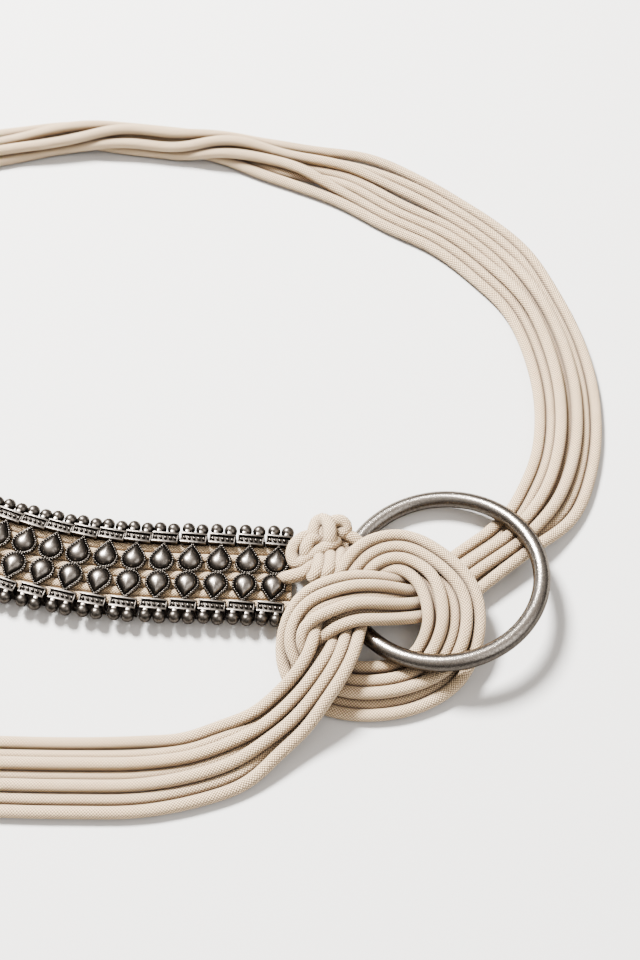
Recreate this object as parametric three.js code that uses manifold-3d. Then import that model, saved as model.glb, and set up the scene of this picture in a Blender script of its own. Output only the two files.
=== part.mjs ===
// A wrap belt lying flat: a plaque of cast links on backing cords, a bundle of seven long cords round the waist,
// and a metal ring that the bundle is knotted through before its free ends run out. Millimetres, +Z up.
import * as THREE from 'three';
import { mergeVertices } from 'three/addons/utils/BufferGeometryUtils.js';
import Module from 'manifold-3d';

const wasm = await Module();
wasm.setup();

// Driving dimensions

const CORD_RADIUS = 1.68; // of the long cords, drawn a little slim so that neighbours keep a gap
const CORD_SIDES = 8;
const CORD_PITCH = 3.78; // between the axes of two cords that touch
const CORD_COUNT = 7;
const FLOOR_LIFT = 1.9; // height of the axis of a cord on the floor

const RING = { x: 37, y: -39.3, z: 8, radius: 29.7, wire: 2.6, tilt: 9.8, tiltTowards: -45 };

const LINK_COUNT = 16;
const LINK_PITCH = 8.8;
const LINK_LEAN = 4; // degrees that a link's column leans past square to the plaque
const DROP = { width: 7.7, height: 10.1, base: 4.4, rim: 5.7, top: 7.5 };
const BAR = { length: 7.9, inner: 9.7, outer: 13.2, base: 4.3, top: 6.4 };
const BEAD = { radius: 2, at: 15.0, apart: 4.1, z: 4.7 };
const STRAP = { wall: 11.8, foot: 0.8 };

const BACKING_RADIUS = 1.4;
const BACKING_PITCH = 3.05;
const BACKING_Z = 2.6;

// The plain sleeve in which the backing cords and the long cords meet, past the plaque's hidden end
const SLEEVE = { from: 3, length: 15, width: 30.2, height: 5.9, wall: 0.8, corner: 1.6 };

// The plaque's axis, from its right end leftwards: how far it runs, and how far it turns in degrees
const PLAQUE_START = { x: -9.3, y: -36.9, heading: 177.8 };
const PLAQUE_RUNS = [
  { run: 40, turn: 0.5 },
  { run: 54, turn: -16.5 },
  { run: 75, turn: -22.5 },
];

// The two tied cords between the plaque's right end and the ring: strands that are pulled tight into one knot each,
// as points of their axes
const TIE_RADIUS = 1.6;
const TIES = {
  tie_knot: [
    [[-0.6, -25, 8.2], [-5.2, -25.2, 9.2], [-8.6, -28, 8.6], [-9, -31.6, 7.6], [-7, -34, 7.4], [-4.7, -32.4, 7.6],
      [-2.1, -30.8, 8.4], [1.2, -29.2, 9.2], [3.4, -27.6, 9.4]],
    [[-2.2, -24.3, 7.6], [-1.8, -21.3, 8.6], [1.2, -20.5, 9.6], [3.4, -22.9, 10.2], [4, -26.3, 9.4]],
    [[3.7, -22.7, 8.6], [6.2, -21.1, 8.8], [8.3, -21.7, 8], [7.4, -22.9, 7], [9.9, -23.9, 6.2]],
  ],
  tie_hitch: [
    [[-9.4, -39, 6.8], [-6.1, -38.2, 7.6], [-3.2, -36.4, 7.6], [-0.4, -34.2, 6.6]],
    [[-0.2, -34, 6.8], [0.3, -35.6, 8.4], [-0.9, -38.1, 9], [-2.1, -39, 8]],
    [[0.4, -33.6, 7], [2.2, -33.2, 8.6], [1.8, -35.4, 10.6], [0.2, -37.6, 10.8]],
  ],
};

// How the seven cords lie in the bundle, as [across, up] in cord pitches, from the left-hand cord to the right
const PACKINGS = {
  turned: [[1, 0.85], [0, 0.85], [1.5, 0], [0.5, 0], [-1, 0.85], [-0.5, 0], [-1.5, 0]],
  entering: [[2, 0], [0, 0], [3, 0], [1, 0], [-2, 0], [-1, 0], [-3, 0]],
  rolledBack: [[0.87, 1.5], [0, 2], [0.87, 0.5], [0, 1], [-0.87, 1.5], [0, 0], [-0.87, 0.5]],
  round: [[0, 2], [-0.87, 1.5], [0.87, 1.5], [0, 1], [-0.87, 0.5], [0.87, 0.5], [0, 0]],
  rolledOn: [[-0.87, 1.5], [-0.87, 0.5], [0, 2], [0, 1], [0, 0], [0.87, 1.5], [0.87, 0.5]],
  untwisting: [[-1.3, 0.85], [-0.9, 0], [-0.3, 0.85], [0.1, 0], [1.1, 0], [0.7, 0.85], [2.1, 0]],
  fan: [[-3.6, 0], [-2, 0], [-1.2, 0.6], [-0.4, 0], [0.4, 0.6], [1.3, 0], [2.5, 0]],
  parted: [[-3.4, 0], [-2.3, 0], [-1.3, 0], [0.2, 0], [1.2, 0], [2.2, 0], [3.2, 0]],
  sixOverOne: [[-2.35, 0], [-1.45, 0.4], [-0.5, 0.85], [0, 0], [0.5, 0.85], [1.45, 0.4], [2.35, 0]],
  fourOverThree: [[-1.5, 0.85], [-1, 0], [-0.5, 0.85], [0, 0], [0.5, 0.85], [1, 0], [1.5, 0.85]],
  fiveOverTwo: [[-1.9, 0.85], [-1.4, 0], [-0.95, 1], [0, 0.85], [0.95, 1], [1.4, 0], [1.9, 0.85]],
  leaning: [[-1.6, 0.8], [-1.3, 0], [-0.75, 0.95], [0.1, 1.1], [1, 1.2], [1.4, 0.4], [1.9, 1.3]],
  stacked: [[-0.8, 0.87], [-0.5, 0], [-0.5, 1.73], [0, 0.87], [0.5, 1.73], [0.5, 0], [1, 0.87]],
  gathered: [[-1.3, 0.9], [-0.9, 0], [-0.4, 0.9], [0, 0], [0.6, 0.9], [1, 0], [1.6, 0.8]],
  exit: [[-1.7, 0.5], [-1.2, 0], [-0.6, 0.85], [0, 0], [0.6, 0.85], [1.2, 0], [1.75, 0.5]],
  spreading: [[-2.3, 0], [-1.5, 0], [-0.8, 0.5], [0, 0], [0.75, 0.6], [1.5, 0], [2.4, 0]],
  resting: [[-2.65, 0], [-1.65, 0], [-0.85, 0.5], [0, 0], [0.75, 0.6], [1.5, 0], [2.65, 0]],
  closing: [[-2.9, 0], [-1.9, 0.1], [-0.9, 0.45], [0, 0], [0.85, 0.5], [1.8, 0.2], [2.8, 0]],
};

// The bundle's route over the floor, from the plaque's hidden end round the waist, through the ring and the knot,
// and out along the free ends. lift is how far its lowest cords are off the floor, and facets is how many straight
// lengths a cord gets from there to the next row.
const ROUTE = [
  { x: -154.0, y: 1.2, lift: 1, packing: 'entering', facets: 1 },
  { x: -162.8, y: 7.9, lift: 0.95, packing: 'entering', facets: 1 },
  { x: -181.0, y: 28.0, lift: 0, packing: 'entering', facets: 1 },
  { x: -193.5, y: 55.5, lift: 0, packing: 'entering', facets: 1 },
  { x: -191.5, y: 87.0, lift: 0, packing: 'turned', facets: 1 },
  { x: -174.0, y: 114.0, lift: 0, packing: 'turned', facets: 1 },
  { x: -148.0, y: 132.0, lift: 0, packing: 'turned', facets: 1 },
  { x: -117.1, y: 140.8, lift: 0, packing: 'turned', facets: 1 },
  { x: -92.0, y: 144.2, lift: 0, packing: 'rolledBack', facets: 1 },
  { x: -70.0, y: 143.8, lift: 0, packing: 'round', facets: 1 },
  { x: -52.0, y: 141.2, lift: 0, packing: 'round', facets: 1 },
  { x: -33.0, y: 138.4, lift: 0, packing: 'rolledOn', facets: 1 },
  { x: -12.0, y: 133.2, lift: 0, packing: 'untwisting', facets: 1 },
  { x: 10.0, y: 124.2, lift: 0, packing: 'fan', facets: 1 },
  { x: 30.0, y: 113.8, lift: 0, packing: 'parted', facets: 1 },
  { x: 48.0, y: 101.2, lift: 0, packing: 'closing', facets: 1 },
  { x: 61.5, y: 87.5, lift: 0, packing: 'closing', facets: 1 },
  { x: 72.2, y: 70.1, lift: 0, packing: 'sixOverOne', facets: 1 },
  { x: 79.2, y: 48.0, lift: 0, packing: 'sixOverOne', facets: 1 },
  { x: 81.2, y: 26.0, lift: 0, packing: 'sixOverOne', facets: 1 },
  { x: 78.5, y: 6.0, lift: 0, packing: 'sixOverOne', facets: 1 },
  { x: 72.0, y: -10.0, lift: 0, packing: 'sixOverOne', facets: 1 },
  { x: 61.6, y: -22.4, lift: 0, packing: 'fourOverThree', facets: 1 },
  { x: 46.7, y: -33.9, lift: 0, packing: 'fourOverThree', facets: 1 },
  { x: 38.2, y: -40.4, lift: 0, packing: 'fourOverThree', facets: 1 },
  { x: 30.6, y: -44.6, lift: 2, packing: 'fourOverThree', facets: 2 },
  { x: 19.8, y: -48.0, lift: 7.2, packing: 'leaning', facets: 2 },
  { x: 8.0, y: -50.2, lift: 10.4, packing: 'leaning', facets: 2 },
  { x: -2.6, y: -54.2, lift: 7, packing: 'leaning', facets: 2 },
  { x: -7.4, y: -62.0, lift: 2.2, packing: 'stacked', facets: 1 },
  { x: -2.2, y: -68.6, lift: 0, packing: 'fourOverThree', facets: 1 },
  { x: 7.6, y: -73.4, lift: 0, packing: 'fourOverThree', facets: 1 },
  { x: 18.2, y: -73.6, lift: 0, packing: 'fourOverThree', facets: 1 },
  { x: 28.2, y: -71.0, lift: 0, packing: 'fourOverThree', facets: 1 },
  { x: 36.2, y: -65.0, lift: 2.2, packing: 'fiveOverTwo', facets: 1 },
  { x: 39.8, y: -56.3, lift: 6.8, packing: 'fiveOverTwo', facets: 1 },
  { x: 39.2, y: -46.1, lift: 8.2, packing: 'fiveOverTwo', facets: 1 },
  { x: 34.2, y: -37.6, lift: 8.2, packing: 'fourOverThree', facets: 2 },
  { x: 24.4, y: -31.4, lift: 7.2, packing: 'fourOverThree', facets: 2 },
  { x: 14.6, y: -34.8, lift: 6, packing: 'fourOverThree', facets: 1 },
  { x: 11.2, y: -41.3, lift: 4, packing: 'gathered', facets: 1 },
  { x: 9.0, y: -49.0, lift: 3, packing: 'gathered', facets: 1 },
  { x: 6.8, y: -56.5, lift: 5, packing: 'gathered', facets: 1 },
  { x: 4.8, y: -63.2, lift: 7.8, packing: 'fourOverThree', facets: 1 },
  { x: 2, y: -69.6, lift: 8.2, packing: 'fourOverThree', facets: 1 },
  { x: -2.4, y: -75.6, lift: 6.2, packing: 'fourOverThree', facets: 1 },
  { x: -8.4, y: -81.8, lift: 3, packing: 'exit', facets: 1 },
  { x: -16.0, y: -88.0, lift: 1, packing: 'exit', facets: 1 },
  { x: -24.8, y: -93.2, lift: 0, packing: 'spreading', facets: 1 },
  { x: -36.0, y: -97.4, lift: 0, packing: 'spreading', facets: 1 },
  { x: -48.4, y: -99.3, lift: 0, packing: 'resting', facets: 1 },
  { x: -70, y: -99.8, lift: 0, packing: 'resting', facets: 1 },
  { x: -91, y: -99.4, lift: 0, packing: 'resting', facets: 1 },
  { x: -108, y: -98.8, lift: 0, packing: 'resting', facets: 0 },
];
const SETTLE_STEP = 2.4; // between the points of a cord while the bundle is settled
const FACET_GAP = 2 * CORD_RADIUS + 0.31; // between the axes of two straight facets at their nearest

// Small maths helpers

const radians = (degrees) => THREE.MathUtils.degToRad(degrees);

// A smooth curve through rows of numbers at the given knots, read at the parameter s
function through(rows, knots, s) {
  let k = 0;
  while (k < knots.length - 2 && s > knots[k + 1]) k += 1;
  const slope = (i) => {
    const a = Math.max(i - 1, 0);
    const b = Math.min(i + 1, knots.length - 1);
    if (a === i || b === i) return rows[b].map((v, c) => (v - rows[a][c]) / (knots[b] - knots[a]));
    const before = knots[i] - knots[a];
    const after = knots[b] - knots[i];
    return rows[i].map((v, c) => {
      const left = (v - rows[a][c]) / before;
      const right = (rows[b][c] - v) / after;
      return (left * after + right * before) / (before + after);
    });
  };
  const h = knots[k + 1] - knots[k];
  const t = (s - knots[k]) / h;
  const m0 = slope(k);
  const m1 = slope(k + 1);
  const a = 2 * t ** 3 - 3 * t ** 2 + 1;
  const b = t ** 3 - 2 * t ** 2 + t;
  const c = -2 * t ** 3 + 3 * t ** 2;
  const d = t ** 3 - t ** 2;
  return rows[k].map((v, i) => a * v + b * h * m0[i] + c * rows[k + 1][i] + d * h * m1[i]);
}

// The route of each cord in the bundle

function routeKnots() {
  const knots = [0];
  for (let i = 1; i < ROUTE.length; i += 1) {
    const run = Math.hypot(ROUTE[i].x - ROUTE[i - 1].x, ROUTE[i].y - ROUTE[i - 1].y);
    knots.push(knots[i - 1] + run);
  }
  return knots;
}

// The stations of a cord along the route, close enough to settle it, and which of them end a facet
function stations(knots) {
  const found = [{ at: 0, endsFacet: true }];
  for (let i = 0; i < ROUTE.length - 1; i += 1) {
    const run = knots[i + 1] - knots[i];
    const { facets } = ROUTE[i];
    const perFacet = Math.max(1, Math.round(run / facets / SETTLE_STEP));
    const count = perFacet * facets;
    for (let k = 1; k <= count; k += 1) {
      found.push({ at: knots[i] + (run * k) / count, endsFacet: k % perFacet === 0 });
    }
  }
  return found;
}

function cordGuide(cord, knots, along) {
  const rows = ROUTE.map((row, i) => {
    const a = ROUTE[Math.max(i - 1, 0)];
    const b = ROUTE[Math.min(i + 1, ROUTE.length - 1)];
    const length = Math.hypot(b.x - a.x, b.y - a.y);
    const right = [(b.y - a.y) / length, -(b.x - a.x) / length];
    const [across, up] = PACKINGS[row.packing][cord];
    return [
      row.x + right[0] * across * CORD_PITCH,
      row.y + right[1] * across * CORD_PITCH,
      FLOOR_LIFT + row.lift + up * CORD_PITCH,
    ];
  });
  return along.map(({ at }) => through(rows, knots, at));
}

const ringTilt = () => {
  const towards = radians(RING.tiltTowards);
  const axis = new THREE.Vector3(Math.sin(towards), -Math.cos(towards), 0);
  return new THREE.Quaternion().setFromAxisAngle(axis, radians(RING.tilt));
};

// The point moved straight off the ring's wire as far as a cord's axis must be from it
function offRing(point) {
  const tilt = ringTilt();
  const centre = new THREE.Vector3(RING.x, RING.y, RING.z);
  const p = point.clone().sub(centre).applyQuaternion(tilt.clone().invert());
  const flat = Math.hypot(p.x, p.y);
  const onWire = new THREE.Vector3((p.x / flat) * RING.radius, (p.y / flat) * RING.radius, 0);
  const clear = RING.wire + CORD_PITCH / 2 + SETTLE.ringGap;
  const d = p.distanceTo(onWire);
  if (d < clear) p.sub(onWire).multiplyScalar(clear / d).add(onWire);
  return p.applyQuaternion(tilt).add(centre);
}

// Lets the cords sink and press on each other, the ring and the floor until none runs into another
const SETTLE = { rounds: 160, sink: 0.03, hold: 0.955, smooth: 0.5, near: 14, ownGap: 14, ringGap: 0.25, held: 5, facetRounds: 60 };

function settle(guides) {
  const perCord = guides[0].length;
  const home = guides.flat();
  const at = home.map((p) => [...p]);
  const pairs = [];
  for (let i = 0; i < home.length; i += 1) {
    for (let j = i + 1; j < home.length; j += 1) {
      const sameCord = Math.floor(i / perCord) === Math.floor(j / perCord);
      if (sameCord && j - i < SETTLE.ownGap / 2) continue;
      const d = Math.hypot(home[i][0] - home[j][0], home[i][1] - home[j][1], home[i][2] - home[j][2]);
      if (d < SETTLE.near) pairs.push([i, j]);
    }
  }
  const pressApart = () => {
    for (const [i, j] of pairs) {
      const a = at[i];
      const b = at[j];
      const gap = [b[0] - a[0], b[1] - a[1], b[2] - a[2]];
      const d = Math.hypot(...gap);
      if (d >= CORD_PITCH) continue;
      const push = (CORD_PITCH - d) / d / 2;
      for (let c = 0; c < 3; c += 1) {
        a[c] -= gap[c] * push;
        b[c] += gap[c] * push;
      }
    }
    for (const point of at) {
      offRing(new THREE.Vector3(...point)).toArray(point);
      point[2] = Math.max(point[2], FLOOR_LIFT);
    }
  };
  for (let round = 0; round < SETTLE.rounds; round += 1) {
    const moved = at.map((q, i) => q.map((v, c) => v - home[i][c]));
    for (let i = 0; i < at.length; i += 1) {
      const k = i % perCord;
      if (k < SETTLE.held || k === perCord - 1) continue;
      for (let c = 0; c < 3; c += 1) {
        const mean = (moved[i - 1][c] + moved[i + 1][c]) / 2;
        const eased = moved[i][c] + (mean - moved[i][c]) * SETTLE.smooth;
        at[i][c] = home[i][c] + (c < 2 ? eased * SETTLE.hold : eased - SETTLE.sink);
      }
    }
    pressApart();
  }
  for (let round = 0; round < 12; round += 1) pressApart();
  return guides.map((_, cord) => at.slice(cord * perCord, (cord + 1) * perCord));
}

// Where two straight facets come nearest: how far along each, and the gap from the first to the second
function nearest(a0, a1, b0, b1) {
  const u = a1.clone().sub(a0);
  const v = b1.clone().sub(b0);
  const w = a0.clone().sub(b0);
  const [uu, uv, vv, uw, vw] = [u.dot(u), u.dot(v), v.dot(v), u.dot(w), v.dot(w)];
  const clamp = (x) => Math.min(Math.max(x, 0), 1);
  const cross = uu * vv - uv * uv;
  let s = cross < 1e-9 ? 0.5 : clamp((uv * vw - vv * uw) / cross);
  const t = clamp((uv * s + vw) / vv);
  s = clamp((uv * t - uw) / uu);
  const gap = b0.clone().addScaledVector(v, t).sub(a0).addScaledVector(u, -s);
  return { s, t, gap };
}

// Straight facets cut the corners of the curves that they follow: this moves their ends until none touches another
function spaceFacets(cords) {
  const facets = [];
  cords.forEach((ends, cord) => {
    for (let i = 0; i < ends.length - 1; i += 1) facets.push({ cord, i, from: ends[i], to: ends[i + 1] });
  });
  const pairs = [];
  facets.forEach((a, k) => {
    for (const b of facets.slice(k + 1)) {
      if (a.cord === b.cord && b.i - a.i < 3) continue;
      if (nearest(a.from, a.to, b.from, b.to).gap.length() < 3 * FACET_GAP) pairs.push([a, b]);
    }
  });
  const shift = (facet, s, by) => {
    const share = 1 / ((1 - s) ** 2 + s ** 2);
    facet.from.addScaledVector(by, (1 - s) * share);
    facet.to.addScaledVector(by, s * share);
  };
  for (let round = 0; round < SETTLE.facetRounds; round += 1) {
    for (const [a, b] of pairs) {
      const { s, t, gap } = nearest(a.from, a.to, b.from, b.to);
      const d = gap.length();
      if (d >= FACET_GAP) continue;
      gap.multiplyScalar((FACET_GAP - d) / d / 2);
      shift(b, t, gap);
      shift(a, s, gap.negate());
    }
    for (const facet of facets) {
      for (const s of [0, 0.25, 0.5, 0.75, 1]) {
        const point = facet.from.clone().lerp(facet.to, s);
        shift(facet, s, offRing(point).sub(point));
      }
      facet.from.z = Math.max(facet.from.z, FLOOR_LIFT);
      facet.to.z = Math.max(facet.to.z, FLOOR_LIFT);
    }
  }
}

// A path whose parameter counts its own points, so that a tube's facets end at them
class Route extends THREE.Curve {
  constructor(points) {
    super();
    this.points = points;
  }

  getPoint(t) {
    const place = t * (this.points.length - 1);
    const k = Math.min(Math.floor(place), this.points.length - 2);
    return this.points[k].clone().lerp(this.points[k + 1], place - k);
  }

  getPointAt(u) {
    return this.getPoint(u);
  }

  getTangentAt(u) {
    const place = Math.round(u * (this.points.length - 1));
    const before = this.points[Math.max(place - 1, 0)];
    const after = this.points[Math.min(place + 1, this.points.length - 1)];
    return after.clone().sub(before).normalize();
  }
}

function tube(points, radius, sides = CORD_SIDES) {
  const section = new THREE.Shape();
  for (let i = 0; i < sides; i += 1) {
    const a = (2 * Math.PI * i) / sides;
    const place = [radius * Math.cos(a), radius * Math.sin(a)];
    if (i === 0) section.moveTo(...place);
    else section.lineTo(...place);
  }
  return new THREE.ExtrudeGeometry(section, {
    steps: points.length - 1,
    curveSegments: 1,
    bevelEnabled: false,
    extrudePath: new Route(points),
  });
}

// Joins, with the vertices of each piece merged first

function toSolid(geometry) {
  const bare = geometry.clone();
  bare.deleteAttribute('normal');
  bare.deleteAttribute('uv');
  const merged = mergeVertices(bare, 1e-4);
  return new wasm.Manifold(new wasm.Mesh({
    numProp: 3,
    vertProperties: new Float32Array(merged.attributes.position.array),
    triVerts: new Uint32Array(merged.index.array),
  }));
}

function toGeometry(solid) {
  const mesh = solid.getMesh();
  const geometry = new THREE.BufferGeometry();
  geometry.setAttribute('position', new THREE.BufferAttribute(new Float32Array(mesh.vertProperties), 3));
  geometry.setIndex(new THREE.BufferAttribute(new Uint32Array(mesh.triVerts), 1));
  return geometry;
}

const joined = (geometries) => toGeometry(geometries.map(toSolid).reduce((whole, next) => whole.add(next)));

// A teardrop with a domed middle, its round end at the link's centre and its point outwards
function dropGeometry(side) {
  const r = DROP.width / 2;
  const centre = r - 0.15;
  const outline = [];
  for (const degrees of [-210, -150, -90, -30, 30]) {
    outline.push([r * Math.cos(radians(degrees)), centre + r * Math.sin(radians(degrees))]);
  }
  outline.push([0, centre + DROP.height - r]);
  const count = outline.length;
  const positions = [DROP.base, DROP.rim].flatMap((z) => outline.flatMap(([x, y]) => [x * side, y * side, z]));
  positions.push(0, centre * side, DROP.top);
  const faces = [];
  for (let i = 0; i < count; i += 1) {
    const next = (i + 1) % count;
    faces.push(i, next, next + count, i, next + count, i + count);
    faces.push(i + count, next + count, 2 * count);
  }
  for (let i = 1; i < count - 1; i += 1) faces.push(0, i + 1, i);
  const geometry = new THREE.BufferGeometry();
  geometry.setAttribute('position', new THREE.Float32BufferAttribute(positions, 3));
  geometry.setIndex(faces);
  return geometry;
}

function beadGeometry(x, y) {
  const r = BEAD.radius;
  const profile = [new THREE.Vector2(0, -r), new THREE.Vector2(r, 0), new THREE.Vector2(0, r)];
  const bead = new THREE.LatheGeometry(profile, 10);
  return bead.rotateX(Math.PI / 2).translate(x, y, BEAD.z);
}

// One casting of the plaque: two drops tip outwards, and past each a bar with two beads. Under the bars its walls
// and a flat strap close it behind the backing cords.
function linkFrame() {
  const half = [
    [0, 0], [BAR.outer, 0], [BAR.outer, BAR.top], [BAR.inner, BAR.top], [BAR.inner, BAR.base],
    [STRAP.wall, BAR.base], [STRAP.wall, STRAP.foot], [0, STRAP.foot],
  ];
  const section = new THREE.Shape();
  section.moveTo(-half[1][0], half[1][1]);
  for (const [y, z] of half.slice(1, -1)) section.lineTo(y, z);
  for (const [y, z] of half.slice(2, -1).reverse()) section.lineTo(-y, z);
  const frame = new THREE.ExtrudeGeometry(section, { depth: BAR.length, bevelEnabled: false });
  const upright = new THREE.Matrix4().makeBasis(
    new THREE.Vector3(0, 1, 0),
    new THREE.Vector3(0, 0, 1),
    new THREE.Vector3(1, 0, 0),
  );
  return frame.translate(0, 0, -BAR.length / 2).applyMatrix4(upright);
}

function linkGeometry() {
  const pieces = [linkFrame()];
  for (const side of [1, -1]) {
    pieces.push(dropGeometry(side));
    for (const along of [-0.5, 0.5]) pieces.push(beadGeometry(along * BEAD.apart, side * BEAD.at));
  }
  return joined(pieces);
}

// The plaque's axis: a point, and the heading in degrees, at a distance from its right end
function plaqueAt(distance) {
  let { x, y, heading } = PLAQUE_START;
  let left = distance;
  for (const { run, turn } of PLAQUE_RUNS) {
    const part = Math.min(left, run);
    const turned = (turn * part) / run;
    const chord = turn === 0 ? part : (2 * run * Math.sin(radians(Math.abs(turned) / 2))) / radians(Math.abs(turn));
    x += chord * Math.cos(radians(heading + turned / 2));
    y += chord * Math.sin(radians(heading + turned / 2));
    heading += turned;
    left -= part;
  }
  return { x, y, heading };
}

// The sleeve's outline as a rectangle with its corners cut, drawn in by a wall
function sleeveOutline(inset) {
  const x = SLEEVE.width / 2 - inset;
  const bottom = inset;
  const top = SLEEVE.height - inset;
  const c = Math.max(SLEEVE.corner - inset, 0.4);
  const corners = [[x, bottom + c], [x, top - c], [x - c, top], [c - x, top]];
  corners.push([-x, top - c], [-x, bottom + c], [c - x, bottom], [x - c, bottom]);
  return corners.map((corner) => new THREE.Vector2(...corner));
}

// Materials

const finish = (color, roughness, metalness) => new THREE.MeshStandardMaterial({ color, roughness, metalness });
const cotton = finish(0xe6dcc8, 0.9, 0);
const agedSilver = finish(0x6b625a, 0.45, 1);
const ringSilver = finish(0x8d857c, 0.4, 1);

const belt = new THREE.Group();

function addPiece(name, geometry, material, parent = belt) {
  const mesh = new THREE.Mesh(geometry, material);
  mesh.name = name;
  parent.add(mesh);
  return mesh;
}

// The ring

function addRing() {
  const mesh = addPiece('ring', new THREE.TorusGeometry(RING.radius, RING.wire, 10, 26), ringSilver);
  mesh.position.set(RING.x, RING.y, RING.z);
  mesh.quaternion.copy(ringTilt());
}

// The plaque: its links, and the backing cords that they slide on

function addLinks() {
  const geometry = linkGeometry();
  for (let i = 0; i < LINK_COUNT; i += 1) {
    const { x, y, heading } = plaqueAt((i + 0.5) * LINK_PITCH);
    const mesh = addPiece(`link_${String(i + 1).padStart(2, '0')}`, geometry, agedSilver);
    mesh.position.set(x, y, 0);
    mesh.rotation.z = radians(heading - 180 - LINK_LEAN);
  }
}

function addBackingCords() {
  const length = LINK_COUNT * LINK_PITCH + SLEEVE.from + SLEEVE.length / 2;
  const steps = 6;
  for (let cord = 0; cord < CORD_COUNT; cord += 1) {
    const offset = (cord - (CORD_COUNT - 1) / 2) * BACKING_PITCH;
    const points = [];
    for (let i = 0; i <= steps; i += 1) {
      const { x, y, heading } = plaqueAt((length * i) / steps - 0.5);
      const across = radians(heading - 90);
      const place = [x + offset * Math.cos(across), y + offset * Math.sin(across), BACKING_Z];
      points.push(new THREE.Vector3(...place));
    }
    addPiece(`backing_cord_${cord + 1}`, tube(points, BACKING_RADIUS), cotton);
  }
}

// The sleeve, square across the plaque's axis at its middle

function addSleeve() {
  const section = new THREE.Shape(sleeveOutline(0));
  section.holes.push(new THREE.Path(sleeveOutline(SLEEVE.wall)));
  const sleeve = new THREE.ExtrudeGeometry(section, { depth: SLEEVE.length, bevelEnabled: false });
  sleeve.translate(0, 0, -SLEEVE.length / 2).rotateX(Math.PI / 2);
  const { x, y, heading } = plaqueAt(LINK_COUNT * LINK_PITCH + SLEEVE.from + SLEEVE.length / 2);
  const mesh = addPiece('end_sleeve', sleeve, cotton);
  mesh.position.set(x, y, 0);
  mesh.rotation.z = radians(heading - 90);
}

// The tied cords

function addTies() {
  for (const [name, strands] of Object.entries(TIES)) {
    const tubes = strands.map((rows) => {
      const curve = new THREE.CatmullRomCurve3(rows.map((row) => new THREE.Vector3(...row)));
      return tube(curve.getPoints(rows.length + 1), TIE_RADIUS);
    });
    addPiece(name, joined(tubes), cotton);
  }
}

// The long cords

function addLongCords() {
  const knots = routeKnots();
  const along = stations(knots);
  const guides = [];
  for (let cord = 0; cord < CORD_COUNT; cord += 1) guides.push(cordGuide(cord, knots, along));
  const cords = settle(guides).map((points) => {
    const ends = points.filter((_, i) => along[i].endsFacet);
    return ends.map((end) => new THREE.Vector3(...end));
  });
  spaceFacets(cords);
  cords.forEach((ends, cord) => addPiece(`long_cord_${cord + 1}`, tube(ends, CORD_RADIUS), cotton));
}

addRing();
addLinks();
addBackingCords();
addSleeve();
addTies();
addLongCords();

// The origin goes to the middle of the belt's underside
const bounds = new THREE.Box3().setFromObject(belt, true);
const middle = bounds.getCenter(new THREE.Vector3()).setZ(bounds.min.z);
for (const piece of belt.children) piece.position.sub(middle);

export default belt;
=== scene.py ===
# A wrap belt lying flat: a plaque of cast links on backing cords, a bundle of seven long braided cords round the
# waist, and a metal ring that the bundle is knotted through before its free ends run out.
import math

import bmesh
import bpy
import numpy as np
from bpy.props import FloatProperty, FloatVectorProperty, IntProperty, PointerProperty
from mathutils import Matrix, Vector


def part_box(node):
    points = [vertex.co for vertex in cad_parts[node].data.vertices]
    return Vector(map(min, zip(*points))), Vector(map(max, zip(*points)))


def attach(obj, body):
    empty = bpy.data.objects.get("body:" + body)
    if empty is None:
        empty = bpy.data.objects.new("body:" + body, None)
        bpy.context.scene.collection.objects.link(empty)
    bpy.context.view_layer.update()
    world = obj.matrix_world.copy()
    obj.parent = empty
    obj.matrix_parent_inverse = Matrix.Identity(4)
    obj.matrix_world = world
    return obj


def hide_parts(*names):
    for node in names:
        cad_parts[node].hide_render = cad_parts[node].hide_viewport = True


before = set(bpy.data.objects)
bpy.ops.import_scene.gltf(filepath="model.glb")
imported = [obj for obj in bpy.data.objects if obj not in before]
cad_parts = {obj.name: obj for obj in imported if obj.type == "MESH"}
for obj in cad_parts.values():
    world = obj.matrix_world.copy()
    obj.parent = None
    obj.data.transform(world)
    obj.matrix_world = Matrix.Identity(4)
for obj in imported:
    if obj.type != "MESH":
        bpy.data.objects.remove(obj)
bpy.ops.object.select_all(action="DESELECT")
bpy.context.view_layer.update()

bl_info = {
    "name": "Wrap Belt",
    "version": (1, 0, 0),
    "blender": (4, 5, 0),
    "location": "View3D > Sidebar > Belt",
    "description": "Models a cord wrap belt with a cast plaque and a ring",
    "category": "Object",
}

MM = 0.001

# The belt's drawing, in millimetres

CORD_PITCH = 3.78
CORD_COUNT = 7
FLOOR_LIFT = 1.9
RING = {"x": 37, "y": -39.3, "z": 8, "radius": 29.7, "wire": 2.6, "tilt": 9.8, "tilt_towards": -45}
LINK_COUNT = 16
LINK_PITCH = 8.8
LINK_LEAN = 4
BACKING_PITCH = 3.05
BACKING_Z = 2.6
SLEEVE = {"from": 3, "length": 15, "width": 30.2, "height": 5.9, "wall": 0.8, "turns": 16, "groove": 0.18}
PLAQUE_START = {"x": -9.3, "y": -36.9, "heading": 177.8}
PLAQUE_RUNS = [(40, 0.5), (54, -16.5), (75, -22.5)]

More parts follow.
